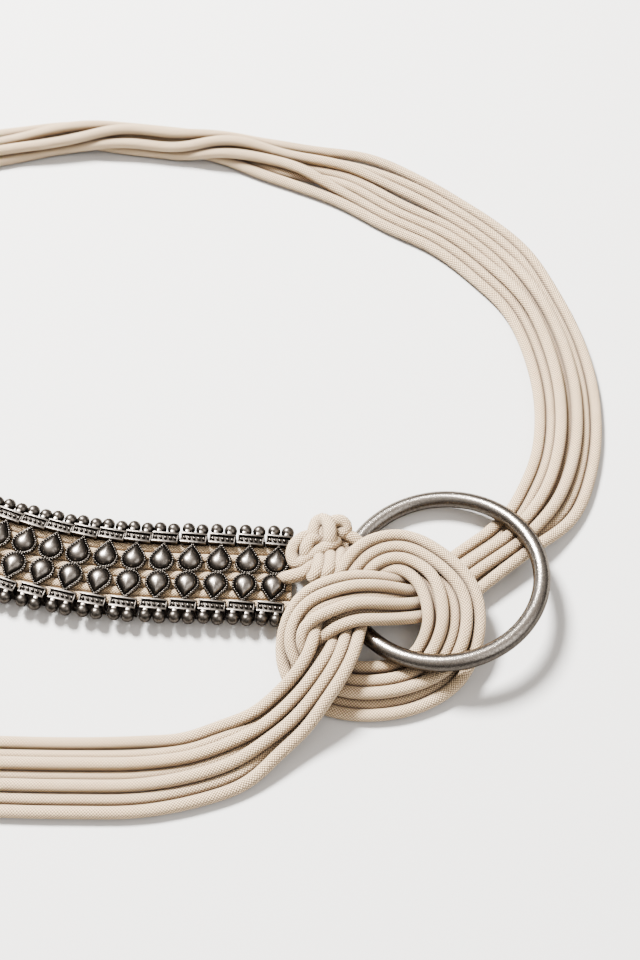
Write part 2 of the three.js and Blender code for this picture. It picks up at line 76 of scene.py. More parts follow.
# Where each cord of the bundle lies, as (across, up) in cord pitches, from the left-hand cord to the right
PACKINGS = {
    "turned": [(1, 0.85), (0, 0.85), (1.5, 0), (0.5, 0), (-1, 0.85), (-0.5, 0), (-1.5, 0)],
    "entering": [(2, 0), (0, 0), (3, 0), (1, 0), (-2, 0), (-1, 0), (-3, 0)],
    "rolled_back": [(0.87, 1.5), (0, 2), (0.87, 0.5), (0, 1), (-0.87, 1.5), (0, 0), (-0.87, 0.5)],
    "round": [(0, 2), (-0.87, 1.5), (0.87, 1.5), (0, 1), (-0.87, 0.5), (0.87, 0.5), (0, 0)],
    "rolled_on": [(-0.87, 1.5), (-0.87, 0.5), (0, 2), (0, 1), (0, 0), (0.87, 1.5), (0.87, 0.5)],
    "untwisting": [(-1.3, 0.85), (-0.9, 0), (-0.3, 0.85), (0.1, 0), (1.1, 0), (0.7, 0.85), (2.1, 0)],
    "fan": [(-3.6, 0), (-2, 0), (-1.2, 0.6), (-0.4, 0), (0.4, 0.6), (1.3, 0), (2.5, 0)],
    "parted": [(-3.4, 0), (-2.3, 0), (-1.3, 0), (0.2, 0), (1.2, 0), (2.2, 0), (3.2, 0)],
    "six_over_one": [(-2.35, 0), (-1.45, 0.4), (-0.5, 0.85), (0, 0), (0.5, 0.85), (1.45, 0.4), (2.35, 0)],
    "four_over_three": [(-1.5, 0.85), (-1, 0), (-0.5, 0.85), (0, 0), (0.5, 0.85), (1, 0), (1.5, 0.85)],
    "five_over_two": [(-1.9, 0.85), (-1.4, 0), (-0.95, 1), (0, 0.85), (0.95, 1), (1.4, 0), (1.9, 0.85)],
    "leaning": [(-1.6, 0.8), (-1.3, 0), (-0.75, 0.95), (0.1, 1.1), (1, 1.2), (1.4, 0.4), (1.9, 1.3)],
    "stacked": [(-0.8, 0.87), (-0.5, 0), (-0.5, 1.73), (0, 0.87), (0.5, 1.73), (0.5, 0), (1, 0.87)],
    "gathered": [(-1.3, 0.9), (-0.9, 0), (-0.4, 0.9), (0, 0), (0.6, 0.9), (1, 0), (1.6, 0.8)],
    "exit": [(-1.7, 0.5), (-1.2, 0), (-0.6, 0.85), (0, 0), (0.6, 0.85), (1.2, 0), (1.75, 0.5)],
    "spreading": [(-2.3, 0), (-1.5, 0), (-0.8, 0.5), (0, 0), (0.75, 0.6), (1.5, 0), (2.4, 0)],
    "resting": [(-2.65, 0), (-1.65, 0), (-0.85, 0.5), (0, 0), (0.75, 0.6), (1.5, 0), (2.65, 0)],
    "closing": [(-2.9, 0), (-1.9, 0.1), (-0.9, 0.45), (0, 0), (0.85, 0.5), (1.8, 0.2), (2.8, 0)],
}

# The bundle's route from the sleeve round the waist, through the ring and the knot, to the free ends:
# x, y, how far its lowest cords are off the floor, and how the cords are packed there
ROUTE = [
    (-154.0, 1.2, 1, "entering"),
    (-162.8, 7.9, 0.95, "entering"),
    (-181.0, 28.0, 0, "entering"),
    (-193.5, 55.5, 0, "entering"),
    (-191.5, 87.0, 0, "turned"),
    (-174.0, 114.0, 0, "turned"),
    (-148.0, 132.0, 0, "turned"),
    (-117.1, 140.8, 0, "turned"),
    (-92.0, 144.2, 0, "rolled_back"),
    (-70.0, 143.8, 0, "round"),
    (-52.0, 141.2, 0, "round"),
    (-33.0, 138.4, 0, "rolled_on"),
    (-12.0, 133.2, 0, "untwisting"),
    (10.0, 124.2, 0, "fan"),
    (30.0, 113.8, 0, "parted"),
    (48.0, 101.2, 0, "closing"),
    (61.5, 87.5, 0, "closing"),
    (72.2, 70.1, 0, "six_over_one"),
    (79.2, 48.0, 0, "six_over_one"),
    (81.2, 26.0, 0, "six_over_one"),
    (78.5, 6.0, 0, "six_over_one"),
    (72.0, -10.0, 0, "six_over_one"),
    (61.6, -22.4, 0, "four_over_three"),
    (46.7, -33.9, 0, "four_over_three"),
    (38.2, -40.4, 0, "four_over_three"),
    (30.6, -44.6, 2, "four_over_three"),
    (19.8, -48.0, 7.2, "leaning"),
    (8.0, -50.2, 10.4, "leaning"),
    (-2.6, -54.2, 7, "leaning"),
    (-7.4, -62.0, 2.2, "stacked"),
    (-2.2, -68.6, 0, "four_over_three"),
    (7.6, -73.4, 0, "four_over_three"),
    (18.2, -73.6, 0, "four_over_three"),
    (28.2, -71.0, 0, "four_over_three"),
    (36.2, -65.0, 2.2, "five_over_two"),
    (39.8, -56.3, 6.8, "five_over_two"),
    (39.2, -46.1, 8.2, "five_over_two"),
    (34.2, -37.6, 8.2, "four_over_three"),
    (24.4, -31.4, 7.2, "four_over_three"),
    (14.6, -34.8, 6, "four_over_three"),
    (11.2, -41.3, 4, "gathered"),
    (9.0, -49.0, 3, "gathered"),
    (6.8, -56.5, 5, "gathered"),
    (4.8, -63.2, 7.8, "four_over_three"),
    (2, -69.6, 8.2, "four_over_three"),
    (-2.4, -75.6, 6.2, "four_over_three"),
    (-8.4, -81.8, 3, "exit"),
    (-16.0, -88.0, 1, "exit"),
    (-24.8, -93.2, 0, "spreading"),
    (-36.0, -97.4, 0, "spreading"),
    (-48.4, -99.3, 0, "resting"),
    (-70, -99.8, 0, "resting"),
    (-91, -99.4, 0, "resting"),
    (-108, -98.8, 0, "resting"),
]

# How the cords settle: the step between points, how far apart two points may still meet, and in each round how much
# of a point's shift is kept, how far it sinks, and how hard it is pressed off its neighbours
SETTLE = {
    "step": 2.4,
    "reach": 14,
    "own_steps": 7,
    "held_steps": 5,
    "ring_gap": 0.1,
    "rounds": 260,
    "eases": 3,
    "hold": 0.955,
    "sink": 0.03,
    "press": 0.6,
    "last_rounds": 30,
    "last_press": 0.5,
}

# The tied cords, as points of the axes of their strands: pulled tight between the first link and the knot's top arc
TIES = {
    "tie_knot": [
        [(-2.5, -25.1, 8.5), (-5.2, -26.2, 9.2), (-7.6, -28.3, 8.6), (-8.5, -31.2, 7.6), (-7.3, -34.1, 7.2),
         (-4.9, -33.3, 7.6), (-2.7, -31.9, 8.2), (0.3, -30.3, 9.0), (3.0, -28.8, 9.4), (4.9, -26.6, 8.0)],
        [(-0.6, -26.6, 8.0), (-2.7, -27.1, 9.6), (-4.0, -29.2, 9.6), (-4.3, -31.1, 8.6), (-3.7, -32.1, 6.6)],
        [(0.6, -27.7, 7.4), (-1.8, -25.8, 8.4), (-1.8, -23.0, 9.0), (-0.9, -20.5, 9.0), (1.2, -19.4, 9.0)],
        [(-0.6, -21.0, 8.6), (1.5, -20.2, 9.8), (2.8, -23.0, 11.0), (3.0, -26.4, 10.8), (2.7, -28.4, 8.8),
         (1.5, -29.0, 6.6)],
        [(1.8, -22.3, 8.4), (4.0, -20.7, 9.4), (6.5, -20.3, 9.2), (8.0, -21.8, 8.2), (6.8, -23.6, 7.6),
         (4.3, -23.4, 7.2)],
        [(4.6, -22.3, 6.6), (7.4, -23.5, 6.8), (10.2, -24.7, 6.4), (12.3, -26.1, 5.2)],
        [(-5.2, -27.6, 6.0), (-2.4, -25.4, 6.2), (0.4, -23.0, 6.6), (3.0, -22.4, 6.4), (5.4, -23.6, 5.6)],
        [(-4.6, -30.4, 5.2), (-1.6, -28.0, 5.0), (1.6, -26.6, 4.8), (5.0, -25.8, 4.6), (8.4, -26.6, 4.4)],
        [(-1.0, -32.6, 5.0), (2.4, -30.6, 4.6), (5.8, -29.2, 4.4), (9.0, -28.6, 4.2)],
        [(0.2, -21.4, 7.2), (0.5, -23.2, 8.0), (0.7, -25.4, 8.0), (0.8, -27.4, 7.0)],
    ],
    "tie_hitch": [
        [(-12.6, -37.6, 2.6), (-11.2, -37.9, 4.8), (-8.5, -38.4, 7.4), (-5.1, -37.7, 8.2), (-2.1, -35.2, 8.0),
         (0.3, -32.5, 6.8)],
        [(-1.8, -31.6, 6.4), (-0.3, -32.8, 8.6), (-0.3, -36.0, 10.0), (-1.2, -38.8, 10.2), (-2.4, -40.0, 8.6)],
        [(1.8, -29.9, 6.4), (3.0, -32.2, 8.8), (3.0, -35.8, 10.4), (2.4, -38.6, 10.6), (1.5, -39.9, 9.2)],
        [(5.8, -29.6, 6.4), (6.4, -32.0, 8.4), (6.0, -35.2, 9.8), (5.1, -37.4, 9.6), (3.9, -39.0, 8.6)],
    ],
}

# The lamps, as name, place from the middle in metres, size, share of the main light's power, and colour
LAMPS = [
    ("window", (-0.62, 0.72, 1.22), 0.42, 1.0, (1.0, 0.99, 0.975)),
    ("bounce", (0.9, -0.5, 1.0), 1.2, 0.05, (1.0, 0.99, 0.98)),
]
# The camera's pitch over the floor in degrees, its distance from the middle in metres, its film and its lens
CAMERA = {"pitch": 59, "distance": 0.480, "film": 36.0, "focal_px": 1500.0, "picture_px": 960.0}


def nominal_shift():
    """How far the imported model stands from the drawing, from the middle of the ring."""
    low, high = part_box("ring")
    return Vector(((low[0] + high[0]) / 2 - RING["x"] * MM, (low[1] + high[1]) / 2 - RING["y"] * MM, 0))


SHIFT = nominal_shift()


def placed(points):
    """Points of the drawing in millimetres, in the model's frame in metres."""
    return np.asarray(points, dtype=float) * MM + np.array(SHIFT)


# The cotton's lightest fibres, and how its colour ages in each channel
COTTON_FIBRE = (0.90, 0.72, 0.48)
COTTON_AGED = (0.95, 0.92, 0.87)

# Sizes and colours that a user would change


class BeltCordSettings(bpy.types.PropertyGroup):
    thickness: FloatProperty(
        name="Cord thickness", description="Across a long cord", default=3.7 * MM, unit="LENGTH"
    )
    backing: FloatProperty(
        name="Backing cord", description="Across a backing cord", default=2.8 * MM, unit="LENGTH"
    )
    tie: FloatProperty(name="Tie cord", description="Across a tied cord", default=4.1 * MM, unit="LENGTH")
    weave: FloatProperty(name="Weave", description="Width of one braided stitch", default=0.95 * MM, unit="LENGTH")
    colour: FloatVectorProperty(
        name="Cotton", description="Colour of the cords", default=(0.80, 0.59, 0.35), subtype="COLOR"
    )
    # Painted shade: this dark colour is mixed in between the stitches, in the creases between cords and in the
    # sleeve's grooves, where shade falls.
    painted_shade_colour: FloatVectorProperty(
        name="Between stitches",
        description="Colour deep between the stitches",
        default=(0.06, 0.028, 0.011),
        subtype="COLOR",
    )


class BeltMetalSettings(bpy.types.PropertyGroup):
    high: FloatVectorProperty(
        name="Worn silver",
        description="Colour where the metal is rubbed",
        default=(0.19, 0.168, 0.147),
        subtype="COLOR",
    )
    low: FloatVectorProperty(
        name="Patina", description="Colour in the recesses", default=(0.0022, 0.0017, 0.0014), subtype="COLOR"
    )
    ring_high: FloatVectorProperty(
        name="Ring silver", description="Colour of the ring", default=(0.26, 0.232, 0.203), subtype="COLOR"
    )
    granules: IntProperty(name="Granules", description="Granules round one drop", default=30, min=8, max=60)


class BeltStageSettings(bpy.types.PropertyGroup):
    floor: FloatVectorProperty(
        name="Floor", description="Colour of the floor", default=(0.49, 0.482, 0.468), subtype="COLOR"
    )
    low_room: FloatVectorProperty(
        name="Room near the floor",
        description="Colour of the even light from the sides",
        default=(0.035, 0.032, 0.03),
        subtype="COLOR",
    )
    high_room: FloatVectorProperty(
        name="Room overhead", description="Colour of the even light from above", default=(1.0, 0.93, 0.87),
        subtype="COLOR",
    )
    light: FloatProperty(name="Main light", description="Power of the main light", default=245.0, unit="POWER")
    fill: FloatProperty(name="Fill", description="Strength of the even light", default=1.85)


# Shader helpers


class Shader:
    """A node tree with short calls to add and join its nodes."""

    def __init__(self, tree):
        self.tree = tree
        self.nodes = tree.nodes
        self.column = 0

    def add(self, kind, inputs=None, **settings):
        node = self.nodes.new(kind)
        self.column += 1
        node.location = (-1600 + 180 * (self.column % 9), 300 - 220 * (self.column // 9))
        for name, value in settings.items():
            setattr(node, name, value)
        for name, value in (inputs or {}).items():
            self.feed(node.inputs[name], value)
        return node

    def feed(self, socket, value):
        if isinstance(value, bpy.types.NodeSocket):
            self.tree.links.new(value, socket)
        else:
            socket.default_value = value

    def math(self, operation, a, b=0.0, c=0.0, clamp=False):
        node = self.add("ShaderNodeMath", operation=operation, use_clamp=clamp)
        for socket, value in zip(node.inputs, (a, b, c)):
            self.feed(socket, value)
        return node.outputs[0]

    def mix(self, factor, a, b):
        node = self.add("ShaderNodeMix", data_type="RGBA")
        self.feed(node.inputs["Factor"], factor)
        for name, value in (("A", a), ("B", b)):
            socket = [s for s in node.inputs if s.name == name and s.type == "RGBA"][0]
            self.feed(socket, value if isinstance(value, bpy.types.NodeSocket) else (*value[:3], 1.0))
        return [s for s in node.outputs if s.type == "RGBA"][0]

    def ramp(self, value, low, high):
        node = self.add("ShaderNodeMapRange", {"Value": value, "From Min": low, "From Max": high}, clamp=True)
        return node.outputs[0]

    def noise(self, vector, scale, detail=3.0, roughness=0.55):
        node = self.add("ShaderNodeTexNoise", {"Scale": scale, "Detail": detail, "Roughness": roughness})
        self.feed(node.inputs["Vector"], vector)
        return node.outputs["Fac"]


def new_group(name, inputs, outputs):
    """A shader node group with named sockets; returns it with its shader helper and both ends."""
    tree = bpy.data.node_groups.new(name, "ShaderNodeTree")
    for socket, kind, default in inputs:
        made = tree.interface.new_socket(name=socket, in_out="INPUT", socket_type=kind)
        made.default_value = default
    for socket, kind in outputs:
        tree.interface.new_socket(name=socket, in_out="OUTPUT", socket_type=kind)
    shader = Shader(tree)
    return tree, shader, shader.add("NodeGroupInput"), shader.add("NodeGroupOutput")


def mottle_group():
    """Soft blotches and fine grain over metal: one mask of rubbed metal, and one height."""
    if "mottle" in bpy.data.node_groups:
        return bpy.data.node_groups["mottle"]
    tree, s, start, end = new_group(
        "mottle",
        [
            ("Vector", "NodeSocketVector", (0, 0, 0)),
            ("Blotch Scale", "NodeSocketFloat", 300.0),
            ("Grain Scale", "NodeSocketFloat", 2200.0),
        ],
        [("Rub", "NodeSocketFloat"), ("Height", "NodeSocketFloat")],
    )
    blotch = s.noise(start.outputs["Vector"], start.outputs["Blotch Scale"], 4.0, 0.6)
    grain = s.noise(start.outputs["Vector"], start.outputs["Grain Scale"], 3.0, 0.65)
    rub = s.math("ADD", s.math("MULTIPLY", blotch, 0.6), s.math("MULTIPLY", grain, 0.4))
    s.feed(end.inputs["Rub"], s.ramp(rub, 0.38, 0.62))
    s.feed(end.inputs["Height"], grain)
    return tree


def empty_material(name):
    material = bpy.data.materials.new(name)
    material.use_nodes = True
    shader = Shader(material.node_tree)
    surface = material.node_tree.nodes["Principled BSDF"]
    return material, shader, surface


def cotton_material(name="braided_cotton", crevice_shade=0.84):
    """Braided cotton: a diamond braid along the cord's own UV map, whose unit is one stitch, with painted shade
    between the stitches and in the creases between cords.
    """
    if name in bpy.data.materials:
        return bpy.data.materials[name]
    cords = bpy.context.scene.belt_cords
    material, s, surface = empty_material(name)
    uv = s.add("ShaderNodeUVMap", uv_map="braid").outputs[0]
    place = s.add("ShaderNodeSeparateXYZ", {"Vector": uv})
    round_it, along = place.outputs["X"], place.outputs["Y"]
    wobble = s.math("MULTIPLY", s.math("SUBTRACT", s.noise(uv, 0.9, 2.0), 0.5), 0.35)
    up = s.math("SINE", s.math("MULTIPLY", s.math("ADD", s.math("ADD", round_it, along), wobble), math.pi))
    down = s.math("SINE", s.math("MULTIPLY", s.math("ADD", s.math("SUBTRACT", round_it, along), wobble), math.pi))
    weave = s.math("MULTIPLY", up, down)
    stitch = s.math("POWER", s.math("ABSOLUTE", weave), 0.55)
    body = s.add("ShaderNodeTexCoord").outputs["Object"]
    fibre = s.noise(body, 5200.0, 2.0, 0.7)
    cloud = s.noise(body, 160.0, 3.0, 0.6)
    depth = s.ramp(stitch, 0.22, 1.0)
    aged = tuple(c * k for c, k in zip(cords.colour, COTTON_AGED))
    cream = s.mix(s.ramp(cloud, 0.35, 0.7), tuple(cords.colour), aged)
    # Painted shade: the stitch pattern mixes the dark shade colour into the cream between the stitches.
    shade = s.mix(s.ramp(depth, 0.0, 1.0), s.mix(0.08, tuple(cords.painted_shade_colour), cream), cream)
    tone = s.mix(s.math("MULTIPLY", s.ramp(fibre, 0.55, 0.75), 0.35), shade, COTTON_FIBRE)
    # Painted shade: an occlusion node mixes the cotton towards the dark shade colour in the creases between cords,
    # where shade falls; the function's second argument sets how strong it is.
    open_to_light = s.add("ShaderNodeAmbientOcclusion", {"Distance": 0.0032}, samples=8).outputs["AO"]
    painted_crevice_colour = s.mix(1 - crevice_shade, tuple(cords.painted_shade_colour), tone)
    s.feed(surface.inputs["Base Color"], s.mix(s.ramp(open_to_light, 0.2, 0.97), painted_crevice_colour, tone))
    surface.inputs["Roughness"].default_value = 0.86
    surface.inputs["Sheen Weight"].default_value = 0.08
    surface.inputs["Sheen Roughness"].default_value = 0.6
    height = s.math("ADD", s.math("MULTIPLY", depth, 0.8), s.math("MULTIPLY", fibre, 0.35))
    bump = s.add("ShaderNodeBump", {"Height": height, "Strength": 1.0, "Distance": 0.0004})
    s.feed(surface.inputs["Normal"], bump.outputs[0])
    return material


def thread_material():
    """Plain thread wound round the sleeve, turn beside turn, with painted shade in the grooves between turns."""
    if "wound_thread" in bpy.data.materials:
        return bpy.data.materials["wound_thread"]
    cords = bpy.context.scene.belt_cords
    material, s, surface = empty_material("wound_thread")
    uv = s.add("ShaderNodeUVMap", uv_map="braid").outputs[0]
    place = s.add("ShaderNodeSeparateXYZ", {"Vector": uv})
    turn = s.math("ABSOLUTE", s.math("SINE", s.math("MULTIPLY", place.outputs["Y"], math.pi)))
    twist = s.math("SINE", s.math("MULTIPLY", s.math("ADD", place.outputs["X"], place.outputs["Y"]), 2 * math.pi))
    body = s.add("ShaderNodeTexCoord").outputs["Object"]
    fibre = s.noise(body, 5200.0, 2.0, 0.7)
    depth = s.ramp(turn, 0.1, 0.95)
    # Painted shade: the grooves between the wound turns are mixed towards the dark shade colour.
    painted_groove_shade = s.mix(0.45, tuple(cords.painted_shade_colour), tuple(cords.colour))
    s.feed(surface.inputs["Base Color"], s.mix(depth, painted_groove_shade, tuple(cords.colour)))
    surface.inputs["Roughness"].default_value = 0.85
    surface.inputs["Sheen Weight"].default_value = 0.25
    fine = s.math("ADD", s.math("MULTIPLY", twist, 0.08), s.math("MULTIPLY", fibre, 0.2))
    height = s.math("ADD", s.math("MULTIPLY", turn, 1.0), fine)
    bump = s.add("ShaderNodeBump", {"Height": height, "Strength": 0.9, "Distance": 0.0003})
    s.feed(surface.inputs["Normal"], bump.outputs[0])
    return material


def silver_material(name, high, low, rub_floor, roughness, blotch, grain, bump_depth, recess):
    """Antique silver: rubbed metal over dark patina that stays in the recesses; without the worn attribute, painted
    light and shade follow which way each side faces the main lamp.
    """
    if name in bpy.data.materials:
        return bpy.data.materials[name]
    material, s, surface = empty_material(name)
    body = s.add("ShaderNodeTexCoord").outputs["Object"]
    mottle = s.add("ShaderNodeGroup", node_tree=mottle_group())
    s.feed(mottle.inputs["Vector"], body)
    mottle.inputs["Blotch Scale"].default_value = blotch
    mottle.inputs["Grain Scale"].default_value = grain
    rub = s.math("ADD", s.math("MULTIPLY", mottle.outputs["Rub"], 1 - rub_floor), rub_floor)
    if recess:
        worn = s.add("ShaderNodeAttribute", attribute_name="worn").outputs["Fac"]
        rub = s.math("MULTIPLY", rub, worn, clamp=True)
    else:
        # Painted light and shade: the rub mask is raised on the sides turned towards the main lamp and lowered on
        # the sides turned away from it.
        toward_main_light = s.add("ShaderNodeVectorMath", operation="DOT_PRODUCT")
        s.feed(toward_main_light.inputs[0], s.add("ShaderNodeNewGeometry").outputs["Normal"])
        toward_main_light.inputs[1].default_value = (-0.2, 0.45, 0.87)
        painted_lit_side = s.ramp(toward_main_light.outputs["Value"], 0.0, 0.9)
        rub = s.math("MULTIPLY", rub, s.math("ADD", s.math("MULTIPLY", painted_lit_side, 0.95), 0.28), clamp=True)
    s.feed(surface.inputs["Base Color"], s.mix(rub, low, high))
    surface.inputs["Metallic"].default_value = 1.0
    surface.inputs["Specular Tint"].default_value = (0.6, 0.57, 0.54, 1)
    s.feed(surface.inputs["Roughness"], s.math("SUBTRACT", roughness + 0.16, s.math("MULTIPLY", rub, 0.16)))
    bump = s.add("ShaderNodeBump", {"Height": mottle.outputs["Height"], "Strength": 0.5, "Distance": bump_depth})
    s.feed(surface.inputs["Normal"], bump.outputs[0])
    return material


# Mesh helpers


def new_piece(name, vertices, faces, material, smooth=True):
    mesh = bpy.data.meshes.new(name)
    mesh.from_pydata([tuple(v) for v in vertices], [], faces)
    mesh.update()
    if smooth:
        mesh.polygons.foreach_set("use_smooth", [True] * len(mesh.polygons))
    piece = bpy.data.objects.new(name, mesh)
    bpy.context.collection.objects.link(piece)
    piece.data.materials.append(material)
    return piece


def resampled(points, step):
    """The same smooth path with its points a step apart, by a curve through the given ones."""
    points = np.asarray(points, dtype=float)
    padded = np.vstack([2 * points[0] - points[1], points, 2 * points[-1] - points[-2]])
    fine = []
    for i in range(1, len(padded) - 2):
        p0, p1, p2, p3 = padded[i - 1 : i + 3]
        for t in np.linspace(0, 1, 8, endpoint=False):
            bend = (2 * p0 - 5 * p1 + 4 * p2 - p3) * t**2 + (3 * p1 - p0 - 3 * p2 + p3) * t**3
            fine.append(0.5 * (2 * p1 + (p2 - p0) * t + bend))
    fine.append(points[-1])
    fine = np.array(fine)
    run = np.concatenate([[0], np.cumsum(np.linalg.norm(np.diff(fine, axis=0), axis=1))])
    wanted = np.linspace(0, run[-1], max(2, int(round(run[-1] / step)) + 1))
    return np.stack([np.interp(wanted, run, fine[:, c]) for c in range(3)], axis=1)


def eased(points, rounds):
    """The path with small wiggles smoothed out, its ends kept."""
    points = np.array(points, dtype=float)
    for _ in range(rounds):
        points[1:-1] = points[1:-1] * 0.5 + (points[:-2] + points[2:]) * 0.25
    return points


def tube_rows(points, radius, sides):
    """Rings of vertices round a path, each turned as little as possible from the one before."""
    tangents = np.gradient(points, axis=0)
    tangents /= np.linalg.norm(tangents, axis=1)[:, None]
    side = np.cross(tangents[0], (0, 0, 1.0))
    side /= np.linalg.norm(side)
    angles = np.arange(sides) * 2 * math.pi / sides
    rows = []
    for point, tangent in zip(points, tangents):
        side = side - tangent * np.dot(side, tangent)
        side /= np.linalg.norm(side)
        other = np.cross(tangent, side)
        rows.append(point + radius * (np.cos(angles)[:, None] * side + np.sin(angles)[:, None] * other))
    return np.array(rows), tangents


def add_tube(name, points, thickness, material, sides=20):
    """A braided cord along a path, with rounded cut ends and the braid's UV map in stitches."""
    radius = thickness / 2
    weave = bpy.context.scene.belt_cords.weave
    rows, tangents = tube_rows(points, radius, sides)
    caps = []
    for end, sign in ((0, -1), (-1, 1)):
        rings = []
        for shrink, push in ((0.93, 0.35), (0.75, 0.6), (0.4, 0.72)):
            centre = points[end] + tangents[end] * sign * push * radius * 0.35
            rings.append(points[end] + (rows[end] - points[end]) * shrink + (centre - points[end]))
        caps.append(rings)
    rings = list(reversed(caps[0])) + list(rows) + caps[1]
    run = [0.0]
    for a, b in zip(rings[:-1], rings[1:]):
        run.append(run[-1] + float(np.linalg.norm(b.mean(axis=0) - a.mean(axis=0))))
    vertices = np.vstack(rings)
    faces = []
    uv = []
    stitches = max(6, round(math.pi * thickness / weave / 2) * 2)
    for k in range(len(rings) - 1):
        v0, v1 = run[k] / weave, run[k + 1] / weave
        for i in range(sides):
            j = (i + 1) % sides
            faces.append((k * sides + i, k * sides + j, (k + 1) * sides + j, (k + 1) * sides + i))
            u0, u1 = i * stitches / sides, (i + 1) * stitches / sides
            uv += [(u0, v0), (u1, v0), (u1, v1), (u0, v1)]
    last = (len(rings) - 1) * sides
    faces.append(tuple(reversed(range(sides))))
    faces.append(tuple(last + i for i in range(sides)))
    for ring in (caps[0][-1], caps[1][-1]):
        for i in range(sides):
            angle = i * 2 * math.pi / sides
            uv.append((stitches * 0.1 * math.cos(angle), stitches * 0.1 * math.sin(angle)))
    piece = new_piece(name, vertices, faces, material)
    layer = piece.data.uv_layers.new(name="braid")
    layer.data.foreach_set("uv", [c for pair in uv for c in pair])
    return piece


# The long cords' routes


def through(rows, knots, wanted):
    """A smooth curve through rows of numbers at uneven knots, read at the wanted places."""
    rows = np.asarray(rows, dtype=float)
    slopes = np.zeros_like(rows)
    for i in range(len(rows)):
        if i == 0:
            slopes[i] = (rows[1] - rows[0]) / (knots[1] - knots[0])
        elif i == len(rows) - 1:
            slopes[i] = (rows[i] - rows[i - 1]) / (knots[i] - knots[i - 1])
        else:
            before, after = knots[i] - knots[i - 1], knots[i + 1] - knots[i]
            left, right = (rows[i] - rows[i - 1]) / before, (rows[i + 1] - rows[i]) / after
            slopes[i] = (left * after + right * before) / (before + after)
    found = []
    for place in wanted:
        k = min(max(int(np.searchsorted(knots, place, side="left")) - 1, 0), len(rows) - 2)
        h = knots[k + 1] - knots[k]
        t = (place - knots[k]) / h
        found.append(
            (2 * t**3 - 3 * t**2 + 1) * rows[k]
            + (t**3 - 2 * t**2 + t) * h * slopes[k]
            + (3 * t**2 - 2 * t**3) * rows[k + 1]
            + (t**3 - t**2) * h * slopes[k + 1]
        )
    return np.array(found)


def cord_guides():
    """Each long cord's guide through the bundle's route, before the cords settle on each other."""
    centres = np.array([row[:2] for row in ROUTE])
    runs = np.linalg.norm(np.diff(centres, axis=0), axis=1)
    knots = np.concatenate([[0], np.cumsum(runs)])
    wanted = np.linspace(0, knots[-1], int(knots[-1] / SETTLE["step"]) + 1)
    guides = []
    for cord in range(CORD_COUNT):
        rows = []
        for i, (x, y, lift, packing) in enumerate(ROUTE):
            ahead = centres[min(i + 1, len(ROUTE) - 1)] - centres[max(i - 1, 0)]
            ahead = ahead / np.linalg.norm(ahead)
            across, up = PACKINGS[packing][cord]
            aside, height = across * CORD_PITCH, FLOOR_LIFT + lift + up * CORD_PITCH
            rows.append((x + ahead[1] * aside, y - ahead[0] * aside, height))
        guides.append(through(rows, knots, wanted))
    return guides


def ring_turn():
    """The turn that lifts the ring's raised side."""
    towards = math.radians(RING["tilt_towards"])
    return Matrix.Rotation(math.radians(RING["tilt"]), 3, Vector((math.sin(towards), -math.cos(towards), 0)))


def settled_cords():
    """Lets the cords sink and press on each other, the ring and the floor for a set number of rounds, pushing apart
    those that run into another.
    """
    guides = cord_guides()
    per_cord = len(guides[0])
    home = np.vstack(guides)
    at = home.copy()
    cord_of = np.repeat(np.arange(CORD_COUNT), per_cord)
    first, second = [], []
    for i in range(len(home)):
        gap = np.linalg.norm(home[i + 1 :] - home[i], axis=1)
        near = np.nonzero(gap < SETTLE["reach"])[0] + i + 1
        near = near[(cord_of[near] != cord_of[i]) | (near - i >= SETTLE["own_steps"])]
        first += [i] * len(near)
        second += list(near)
    first, second = np.array(first), np.array(second)
    turn = np.array(ring_turn())
    centre = np.array((RING["x"], RING["y"], RING["z"]))
    clear = RING["wire"] + CORD_PITCH / 2 + SETTLE["ring_gap"]

    def press_apart(strength):
        gap = at[second] - at[first]
        distance = np.linalg.norm(gap, axis=1)
        close = distance < CORD_PITCH
        share = (CORD_PITCH - distance[close]) / np.maximum(distance[close], 1e-6) / 2
        push = gap[close] * share[:, None] * strength
        np.add.at(at, first[close], -push)
        np.add.at(at, second[close], push)
        local = (at - centre) @ turn
        flat = np.linalg.norm(local[:, :2], axis=1)
        on_wire = np.zeros_like(local)
        on_wire[:, :2] = local[:, :2] / flat[:, None] * RING["radius"]
        off = local - on_wire
        reach = np.linalg.norm(off, axis=1)
        inside = reach < clear
        local[inside] = on_wire[inside] + off[inside] * (clear / reach[inside])[:, None]
        at[inside] = local[inside] @ turn.T + centre
        at[:, 2] = np.maximum(at[:, 2], FLOOR_LIFT)

    index = np.arange(len(home)) % per_cord
    free = (index >= SETTLE["held_steps"]) & (index < per_cord - 1)
    inner = np.nonzero(free)[0]
    for _ in range(SETTLE["rounds"]):
        ease = at - home
        for _ in range(SETTLE["eases"]):
            ease[inner] = ease[inner] * 0.5 + (ease[inner - 1] + ease[inner + 1]) * 0.25
        at[inner, :2] = home[inner, :2] + ease[inner, :2] * SETTLE["hold"]
        at[inner, 2] = home[inner, 2] + ease[inner, 2] - SETTLE["sink"]
        press_apart(SETTLE["press"])
    for _ in range(SETTLE["last_rounds"]):
        press_apart(SETTLE["last_press"])
    return [at[k * per_cord : (k + 1) * per_cord] for k in range(CORD_COUNT)]


# The plaque's axis


def plaque_at(distance):
    """A point of the plaque's axis and its heading in degrees, at a distance from its right end."""
    x, y, heading = PLAQUE_START["x"], PLAQUE_START["y"], PLAQUE_START["heading"]
    left = distance
    for run, turn in PLAQUE_RUNS:
        part = min(left, run)
        turned = turn * part / run
        chord = part if turn == 0 else 2 * run * math.sin(math.radians(abs(turned) / 2)) / math.radians(abs(turn))
        x += chord * math.cos(math.radians(heading + turned / 2))
        y += chord * math.sin(math.radians(heading + turned / 2))
        heading += turned
        left -= part
    return x, y, heading


# The cast link, modelled once round its own centre in millimetres

